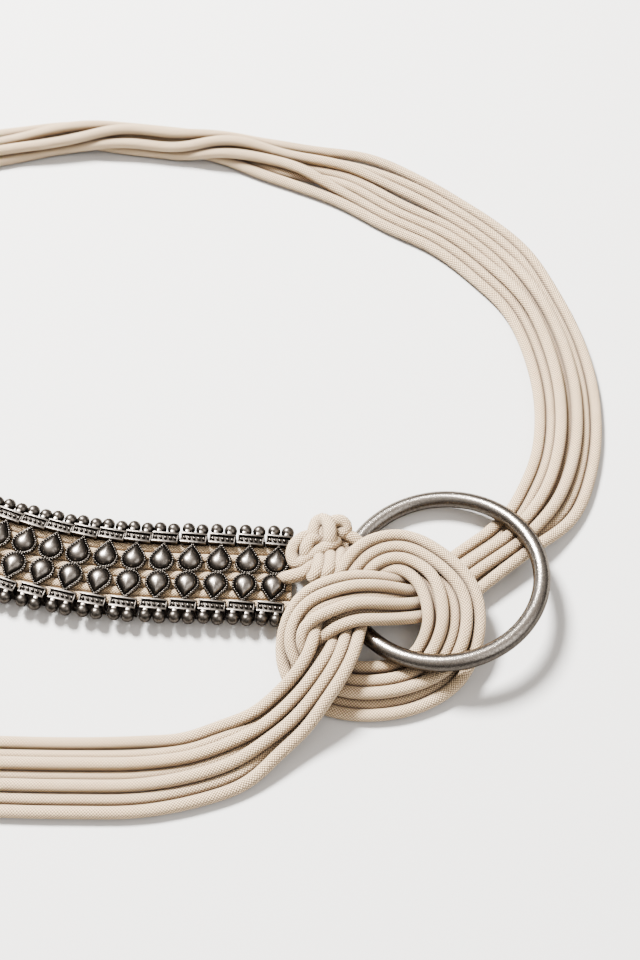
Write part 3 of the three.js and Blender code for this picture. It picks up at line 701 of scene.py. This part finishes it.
DROP = {"centre": 3.72, "radius": 3.95, "tip": 6.35, "sides": 36}
# The teardrop's plate and groove from below, as (share of the outline, height, how worn)
DROP_RINGS = [
    (0.97, 4.45, 0.1),
    (1.0, 4.8, 0.25),
    (1.0, 5.35, 0.45),
    (0.96, 5.6, 0.35),
    (0.83, 5.6, 0.15),
    (0.77, 5.35, 0.02),
]
DOME = {"share": 0.755, "foot": 5.35, "rise": 2.15, "steps": 8, "crown": 0.04}
GRANULE = {"share": 0.895, "radius": 0.37, "z": 5.72}
BAR = {"half": 4.1, "rails": (10.0, 12.9), "studs": 5, "stud_pitch": 1.52, "stud_y": 11.45, "stud_radius": 0.56}
BEAD = {"x": 2.12, "y": 15.05, "z": 4.75, "radius": 2.02}
STRAP = {"length": 7.9, "width": 24.6, "z": 0.42, "thickness": 0.74}


def drop_reach(angle, radius, tip):
    """How far a teardrop's outline is from the middle of its round end, at an angle from its tip."""
    angle = abs((angle + math.pi) % (2 * math.pi) - math.pi)
    tangent = math.acos(radius / tip)
    return radius if angle >= tangent else radius / math.cos(tangent - angle)


def drop_point(angle, scale):
    """A point of the scaled teardrop, with its tip towards +Y."""
    reach = drop_reach(angle, DROP["radius"], DROP["tip"]) * scale
    return reach * math.sin(angle), reach * math.cos(angle)


class LinkMesh:
    """Gathers the link's forms, with how worn each vertex is."""

    def __init__(self):
        self.vertices = []
        self.faces = []
        self.worn = []

    def take(self, mesh, worn):
        start = len(self.vertices)
        self.vertices += [tuple(v.co) for v in mesh.verts]
        mesh.verts.index_update()
        self.faces += [tuple(start + v.index for v in f.verts) for f in mesh.faces]
        self.worn += [worn(v.co) if callable(worn) else worn for v in mesh.verts]
        mesh.free()

    def rings(self, rings, worn):
        """A form from closed rings of points, from its underside to its crown."""
        start = len(self.vertices)
        count = len(rings[0])
        for ring, shade in zip(rings, worn):
            self.vertices += ring
            self.worn += [shade] * count
        for k in range(len(rings) - 1):
            for i in range(count):
                j = (i + 1) % count
                a = start + k * count
                self.faces.append((a + i, a + j, a + count + j, a + count + i))
        self.faces.append(tuple(start + i for i in reversed(range(count))))
        top = start + (len(rings) - 1) * count
        self.faces.append(tuple(top + i for i in range(count)))


def drop_forms(link, side):
    """One teardrop: a plate with a groove, a high dome, and a border of granules."""
    count = DROP["sides"]
    angles = [-2 * math.pi * i / count for i in range(count)]

    def ring(scale, z):
        points = []
        for angle in angles:
            x, y = drop_point(angle, scale)
            points.append((x, (y + DROP["centre"]) * side, z))
        return points if side > 0 else list(reversed(points))

    rings = [ring(share, z) for share, z, _ in DROP_RINGS]
    worn = [shade for _, _, shade in DROP_RINGS]
    for step in range(1, DOME["steps"]):
        angle = step / DOME["steps"] * math.pi / 2
        lift = math.sin(angle)
        share = DOME["share"] * math.cos(angle) ** 0.85
        rings.append(ring(max(share, DOME["crown"]), DOME["foot"] + DOME["rise"] * lift))
        worn.append(min(1.0, 0.25 + 0.75 * lift**0.7))
    rings.append(ring(DOME["crown"], DOME["foot"] + DOME["rise"]))
    worn.append(1.0)
    link.rings(rings, worn)
    granules = bpy.context.scene.belt_metals.granules
    spots = []
    fine = [2 * math.pi * i / 720 for i in range(721)]
    path = [drop_point(a, GRANULE["share"]) for a in fine]
    run = [0.0]
    for a, b in zip(path[:-1], path[1:]):
        run.append(run[-1] + math.dist(a, b))
    for i in range(granules):
        place = np.searchsorted(run, run[-1] * (i + 0.5) / granules)
        spots.append(path[min(int(place), 720)])
    for x, y in spots:
        ball = bmesh.new()
        bmesh.ops.create_uvsphere(ball, u_segments=8, v_segments=5, radius=GRANULE["radius"])
        bmesh.ops.translate(ball, verts=ball.verts, vec=(x, (y + DROP["centre"]) * side, GRANULE["z"]))
        link.take(ball, lambda co: 0.06 + 0.6 * min(max((co.z - 5.8) / 0.3, 0), 1))


def bar_forms(link, side):
    """The bar past a drop's tip: two rails with granules between them, two beads on tabs, and its post."""

    def box(low, high, worn, bevel=0.12):
        form = bmesh.new()
        bmesh.ops.create_cube(form, size=1)
        for v in form.verts:
            v.co = Vector([(low[c] + high[c]) / 2 + v.co[c] * (high[c] - low[c]) for c in range(3)])
        bmesh.ops.bevel(form, geom=form.edges[:], offset=bevel, segments=2, affect="EDGES", profile=0.5)
        if side < 0:
            for v in form.verts:
                v.co.y = -v.co.y
            bmesh.ops.reverse_faces(form, faces=form.faces)
        link.take(form, worn)

    def ball(x, y, z, radius, segments, worn):
        form = bmesh.new()
        bmesh.ops.create_uvsphere(form, u_segments=segments, v_segments=segments // 2 + 1, radius=radius)
        bmesh.ops.translate(form, verts=form.verts, vec=(x, y * side, z))
        link.take(form, worn)

    half = BAR["half"]
    box((-half, 9.75, 4.35), (half, 13.15, 5.55), 0.12)
    for y in BAR["rails"]:
        box((-half, y - 0.33, 5.3), (half, y + 0.33, 6.35), lambda co: 0.12 + 0.38 * (co.z > 6.0), 0.16)
    for x in (-half + 0.25, half - 0.25):
        box((x - 0.22, 10.1, 5.3), (x + 0.22, 12.8, 6.1), 0.18, 0.1)
    for i in range(BAR["studs"]):
        x = (i - (BAR["studs"] - 1) / 2) * BAR["stud_pitch"]
        shade = lambda co: 0.15 + 0.85 * min(max((co.z - 5.6) / 0.6, 0), 1)
        ball(x, BAR["stud_y"], 5.85, BAR["stud_radius"], 10, shade)
    ball(0, 9.75, 5.75, 0.55, 10, 0.7)
    for x in (-BEAD["x"], BEAD["x"]):
        shade = lambda co: 0.14 + 0.46 * min(max((co.z - 4.8) / 1.9, 0), 1)
        ball(x, BEAD["y"], BEAD["z"], BEAD["radius"], 18, shade)
        box((x - 0.72, 13.0, 4.9), (x + 0.72, 14.3, 6.45), 0.95, 0.22)
    box((-half, 11.85, 0.05), (half, 13.1, 4.6), 0.1)


def link_mesh():
    """The whole cast link: two teardrops, two bars and the strap behind."""
    link = LinkMesh()
    for side in (1, -1):
        drop_forms(link, side)
        bar_forms(link, side)
    form = bmesh.new()
    bmesh.ops.create_cube(form, size=1)
    for v in form.verts:
        v.co = Vector((v.co.x * STRAP["length"], v.co.y * STRAP["width"], STRAP["z"] + v.co.z * STRAP["thickness"]))
    bmesh.ops.bevel(form, geom=form.edges[:], offset=0.12, segments=2, affect="EDGES", profile=0.5)
    link.take(form, 0.3)
    return link


# The operators, one for each piece or group of like pieces


class BELT_OT_ring(bpy.types.Operator):
    """Models the round ring of cast wire"""

    bl_idname = "belt.ring"
    bl_label = "Ring"

    def execute(self, context):
        metals = context.scene.belt_metals
        bpy.ops.mesh.primitive_torus_add(
            major_segments=144, minor_segments=32, major_radius=RING["radius"] * MM, minor_radius=RING["wire"] * MM
        )
        ring = context.object
        ring.name = ring.data.name = "ring_wire"
        place = Matrix.Translation(Vector(placed((RING["x"], RING["y"], RING["z"])))) @ ring_turn().to_4x4()
        ring.data.transform(place)
        bpy.ops.object.shade_smooth()
        ring.select_set(False)
        # The ring's silver takes painted light on the sides turned towards the main lamp and painted shade on those
        # turned away.
        material = silver_material(
            "patinated_ring",
            tuple(metals.ring_high),
            tuple(metals.low),
            rub_floor=0.3,
            roughness=0.18,
            blotch=1900.0,
            grain=5200.0,
            bump_depth=0.00007,
            recess=False,
        )
        ring.data.materials.append(material)
        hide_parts("ring")
        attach(ring, "root")
        return {"FINISHED"}


class BELT_OT_links(bpy.types.Operator):
    """Models one cast link and copies it along the plaque"""

    bl_idname = "belt.links"
    bl_label = "Plaque links"

    def execute(self, context):
        metals = context.scene.belt_metals
        material = silver_material(
            "patinated_castings",
            tuple(metals.high),
            tuple(metals.low),
            rub_floor=0.30,
            roughness=0.22,
            blotch=800.0,
            grain=3200.0,
            bump_depth=0.00004,
            recess=True,
        )
        link = link_mesh()
        for i in range(LINK_COUNT):
            x, y, heading = plaque_at((i + 0.5) * LINK_PITCH)
            turn = Matrix.Rotation(math.radians(heading - 180 - LINK_LEAN), 4, "Z")
            place = Matrix.Translation(Vector(placed((x, y, 0)))) @ turn @ Matrix.Scale(MM, 4)
            piece = new_piece(f"cast_link_{i + 1:02d}", link.vertices, link.faces, material)
            piece.data.transform(place)
            worn = piece.data.attributes.new("worn", "FLOAT", "POINT")
            worn.data.foreach_set("value", link.worn)
            piece.select_set(True)
            context.view_layer.objects.active = piece
            bpy.ops.object.shade_smooth_by_angle(angle=math.radians(40))
            piece.select_set(False)
            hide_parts(f"link_{i + 1:02d}")
            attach(piece, "root")
        return {"FINISHED"}


class BELT_OT_backing_cords(bpy.types.Operator):
    """Lays the slim cords that the links slide on"""

    bl_idname = "belt.backing_cords"
    bl_label = "Backing cords"

    def execute(self, context):
        cords = context.scene.belt_cords
        length = LINK_COUNT * LINK_PITCH + SLEEVE["from"] + SLEEVE["length"] / 2
        for cord in range(CORD_COUNT):
            offset = (cord - (CORD_COUNT - 1) / 2) * BACKING_PITCH
            points = []
            for s in np.linspace(-0.5, length - 0.5, int(length / 1.5)):
                x, y, heading = plaque_at(max(s, 0))
                across = math.radians(heading - 90)
                back = min(s, 0) * math.cos(math.radians(heading))
                points.append((x + back + offset * math.cos(across), y + offset * math.sin(across), BACKING_Z))
            # The backing cords' cotton takes weaker painted crevice shade than the long cords' cotton.
            material = cotton_material("inner_cotton", 0.35)
            piece = add_tube(f"inner_cord_{cord + 1}", placed(points), cords.backing, material, 14)
            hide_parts(f"backing_cord_{cord + 1}")
            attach(piece, "root")
        return {"FINISHED"}


class BELT_OT_long_cords(bpy.types.Operator):
    """Lays the seven long cords, settled on each other round the loop and in the knot"""

    bl_idname = "belt.long_cords"
    bl_label = "Long cords"

    def execute(self, context):
        cords = context.scene.belt_cords
        for number, points in enumerate(settled_cords(), start=1):
            path = resampled(eased(placed(points), 4), 1.3 * MM)
            piece = add_tube(f"braided_cord_{number}", path, cords.thickness, cotton_material(), 20)
            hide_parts(f"long_cord_{number}")
            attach(piece, "root")
        return {"FINISHED"}


class BELT_OT_ties(bpy.types.Operator):
    """Ties the two short cords between the plaque and the ring"""

    bl_idname = "belt.ties"
    bl_label = "Ties"

    def execute(self, context):
        cords = context.scene.belt_cords
        for name, strands in TIES.items():
            pieces = [
                add_tube(f"{name}_cord", resampled(placed(points), 0.9 * MM), cords.tie, cotton_material(), 20)
                for points in strands
            ]
            for piece in pieces:
                piece.select_set(True)
            context.view_layer.objects.active = pieces[0]
            bpy.ops.object.join()
            pieces[0].select_set(False)
            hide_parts(name)
            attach(pieces[0], "root")
        return {"FINISHED"}


class BELT_OT_sleeve(bpy.types.Operator):
    """Winds the sleeve where the backing cords meet the long cords"""

    bl_idname = "belt.sleeve"
    bl_label = "End sleeve"

    def execute(self, context):
        x, y, heading = plaque_at(LINK_COUNT * LINK_PITCH + SLEEVE["from"] + SLEEVE["length"] / 2)
        place = Matrix.Translation(Vector(placed((x, y, 0)))) @ Matrix.Rotation(math.radians(heading - 90), 4, "Z")
        half, top, wall = SLEEVE["width"] / 2, SLEEVE["height"], SLEEVE["wall"]

        def outline(inset):
            radius = (top - 2 * inset) / 2
            points = []
            for side, start in ((1, -90), (-1, 90)):
                for step in range(13):
                    angle = math.radians(start + step * 15)
                    points.append(
                        (side * (half - top / 2) + radius * math.cos(angle), top / 2 + radius * math.sin(angle))
                    )
            return points

        inner = outline(wall)
        turns = SLEEVE["turns"]
        ys = [-SLEEVE["length"] / 2 + SLEEVE["length"] * k / (2 * turns) for k in range(2 * turns + 1)]
        rings = []
        for k, along in enumerate(ys):
            inset = 0.0 if k % 2 else SLEEVE["groove"]
            rings.append([(px, along, pz) for px, pz in outline(inset)])
        rings.append([(px, ys[-1], pz) for px, pz in inner])
        rings.append([(px, ys[0], pz) for px, pz in inner])
        count = len(inner)
        vertices = [v for ring in rings for v in ring]
        faces = []
        uv = []
        total = len(rings)
        for k in range(total):
            after = (k + 1) % total
            for i in range(count):
                j = (i + 1) % count
                faces.append((k * count + j, k * count + i, after * count + i, after * count + j))
                u0, u1 = i * 2.0, (i + 1) * 2.0
                v0, v1 = k / 2, (k + 1) / 2
                uv += [(u1, v0), (u0, v0), (u0, v1), (u1, v1)]
        piece = new_piece("wound_sleeve", [Vector(v) * MM for v in vertices], faces, thread_material())
        piece.data.transform(place)
        layer = piece.data.uv_layers.new(name="braid")
        layer.data.foreach_set("uv", [c for pair in uv for c in pair])
        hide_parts("end_sleeve")
        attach(piece, "root")
        return {"FINISHED"}


class BELT_OT_stage(bpy.types.Operator):
    """Sets the pale floor, the soft lights and the camera"""

    bl_idname = "belt.stage"
    bl_label = "Stage"

    def execute(self, context):
        stage = context.scene.belt_stage
        bpy.ops.mesh.primitive_plane_add(size=6.0, location=(0, 0, 0))
        floor = context.object
        floor.name = floor.data.name = "pale_floor"
        floor.select_set(False)
        material, s, surface = empty_material("pale_floor")
        surface.inputs["Base Color"].default_value = (*stage.floor, 1)
        surface.inputs["Roughness"].default_value = 0.85
        floor.data.materials.append(material)
        world = bpy.data.worlds.new("soft_room")
        context.scene.world = world
        world.use_nodes = True
        sky = Shader(world.node_tree)
        background = world.node_tree.nodes["Background"]
        way = sky.add("ShaderNodeTexCoord").outputs["Generated"]
        height = sky.add("ShaderNodeSeparateXYZ", {"Vector": way}).outputs["Z"]
        overhead = sky.math("POWER", sky.ramp(height, 0.05, 1.0), 1.8)
        sky.feed(background.inputs["Color"], sky.mix(overhead, stage.low_room, stage.high_room))
        background.inputs["Strength"].default_value = stage.fill
        target = Vector(placed((0, 0, 0)))
        for name, place, size, share, colour in LAMPS:
            bpy.ops.object.light_add(type="AREA", location=target + Vector(place))
            lamp = context.object
            lamp.name = lamp.data.name = name
            lamp.data.shape = "DISK"
            lamp.data.size = size
            lamp.data.energy = stage.light * share
            lamp.data.color = colour
            lamp.rotation_euler = (target - lamp.location).to_track_quat("-Z", "Y").to_euler()
            lamp.select_set(False)
        pitch, distance = math.radians(CAMERA["pitch"]), CAMERA["distance"]
        bpy.ops.object.camera_add(
            location=target + Vector((0, -distance * math.cos(pitch), distance * math.sin(pitch))),
            rotation=(math.pi / 2 - pitch, 0, 0),
        )
        camera = context.object
        camera.name = camera.data.name = "view_camera"
        camera.data.sensor_width = CAMERA["film"]
        camera.data.lens = CAMERA["film"] * CAMERA["focal_px"] / CAMERA["picture_px"]
        camera.data.clip_start = 0.01
        camera.select_set(False)
        context.scene.camera = camera
        return {"FINISHED"}


class BELT_PT_panel(bpy.types.Panel):
    """Lists the belt's sizes and its pieces"""

    bl_idname = "BELT_PT_panel"
    bl_label = "Wrap Belt"
    bl_space_type = "VIEW_3D"
    bl_region_type = "UI"
    bl_category = "Belt"

    def draw(self, context):
        for group in ("belt_cords", "belt_metals", "belt_stage"):
            settings = getattr(context.scene, group)
            box = self.layout.box()
            for name in settings.__annotations__:
                box.prop(settings, name)
        for operator in OPERATORS:
            self.layout.operator(operator.bl_idname)


SETTINGS = {"belt_cords": BeltCordSettings, "belt_metals": BeltMetalSettings, "belt_stage": BeltStageSettings}
OPERATORS = (
    BELT_OT_stage,
    BELT_OT_ring,
    BELT_OT_links,
    BELT_OT_backing_cords,
    BELT_OT_long_cords,
    BELT_OT_ties,
    BELT_OT_sleeve,
)


def register():
    for name, kind in SETTINGS.items():
        bpy.utils.register_class(kind)
        setattr(bpy.types.Scene, name, PointerProperty(type=kind))
    for kind in (*OPERATORS, BELT_PT_panel):
        bpy.utils.register_class(kind)


def unregister():
    for kind in reversed((*OPERATORS, BELT_PT_panel)):
        bpy.utils.unregister_class(kind)
    for name, kind in reversed(SETTINGS.items()):
        delattr(bpy.types.Scene, name)
        bpy.utils.unregister_class(kind)


def main():
    register()
    bpy.ops.belt.stage()
    bpy.ops.belt.ring()
    bpy.ops.belt.links()
    bpy.ops.belt.backing_cords()
    bpy.ops.belt.long_cords()
    bpy.ops.belt.ties()
    bpy.ops.belt.sleeve()


if __name__ == "__main__":
    main()
